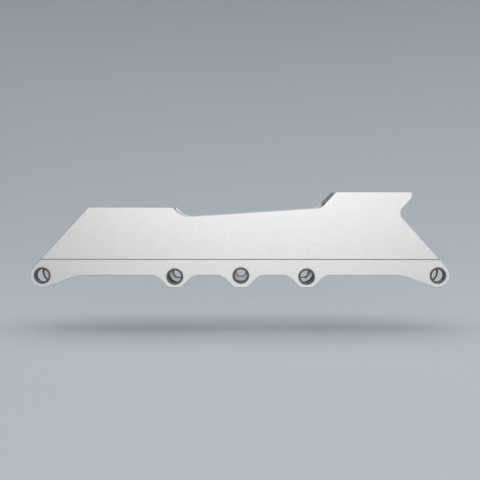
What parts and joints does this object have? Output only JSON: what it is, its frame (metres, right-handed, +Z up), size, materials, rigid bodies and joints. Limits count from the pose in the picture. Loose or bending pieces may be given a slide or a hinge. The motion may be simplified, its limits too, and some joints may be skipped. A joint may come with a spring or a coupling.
{
  "type": "inline skate frame",
  "caption": "Machined aluminium inline skate frame with two boot decks at different heights, bushed axle holes in both side walls and captive sliding boot-mount nuts.",
  "frame": {"origin": "middle of the frame's length and width, on the plane that its lug feet stand on", "axes": "+X along the frame towards the heel, +Y across it towards the wall with the threaded inserts, +Z up towards the boot"},
  "size_m": [0.2738, 0.033, 0.0626],
  "materials": {
    "chassis": "bead-blasted, clear anodised",
    "bush": "turned steel, black oxide",
    "insert": "turned steel, nickel plated",
    "nut": "turned steel, zinc plated",
    "washer": "stamped stainless steel",
    "ring": "spring steel, phosphated"
  },
  "bodies": {
    "chassis": {"chassis": "chassis", "axle_bush_1": "bush", "axle_bush_2": "bush", "axle_bush_3": "bush", "axle_bush_4": "bush", "axle_bush_5": "bush", "axle_insert_1": "insert", "axle_insert_2": "insert", "axle_insert_3": "insert", "axle_insert_4": "insert", "axle_insert_5": "insert"},
    "toe_slider": {"toe_mount_washer": "washer"},
    "toe_nut": {"toe_mount_nut": "nut", "toe_mount_ring": "ring"},
    "heel_slider": {"heel_mount_washer": "washer"},
    "heel_nut": {"heel_mount_nut": "nut", "heel_mount_ring": "ring"}
  },
  "joints": [
    {"name": "toe_mount_slide", "type": "slide", "parent": "chassis", "child": "toe_slider", "axis": [1, 0, 0], "range_m": [-0.004, 0.004]},
    {"name": "toe_nut_turn", "type": "hinge", "parent": "toe_slider", "child": "toe_nut", "pos_m": [-0.079, 0, 0.04735], "axis": [0, 0, 1], "continuous": true},
    {"name": "heel_mount_slide", "type": "slide", "parent": "chassis", "child": "heel_slider", "axis": [1, 0, 0], "range_m": [-0.004, 0.004]},
    {"name": "heel_nut_turn", "type": "hinge", "parent": "heel_slider", "child": "heel_nut", "pos_m": [0.086, 0, 0.0577], "axis": [0, 0, 1], "continuous": true}
  ]
}
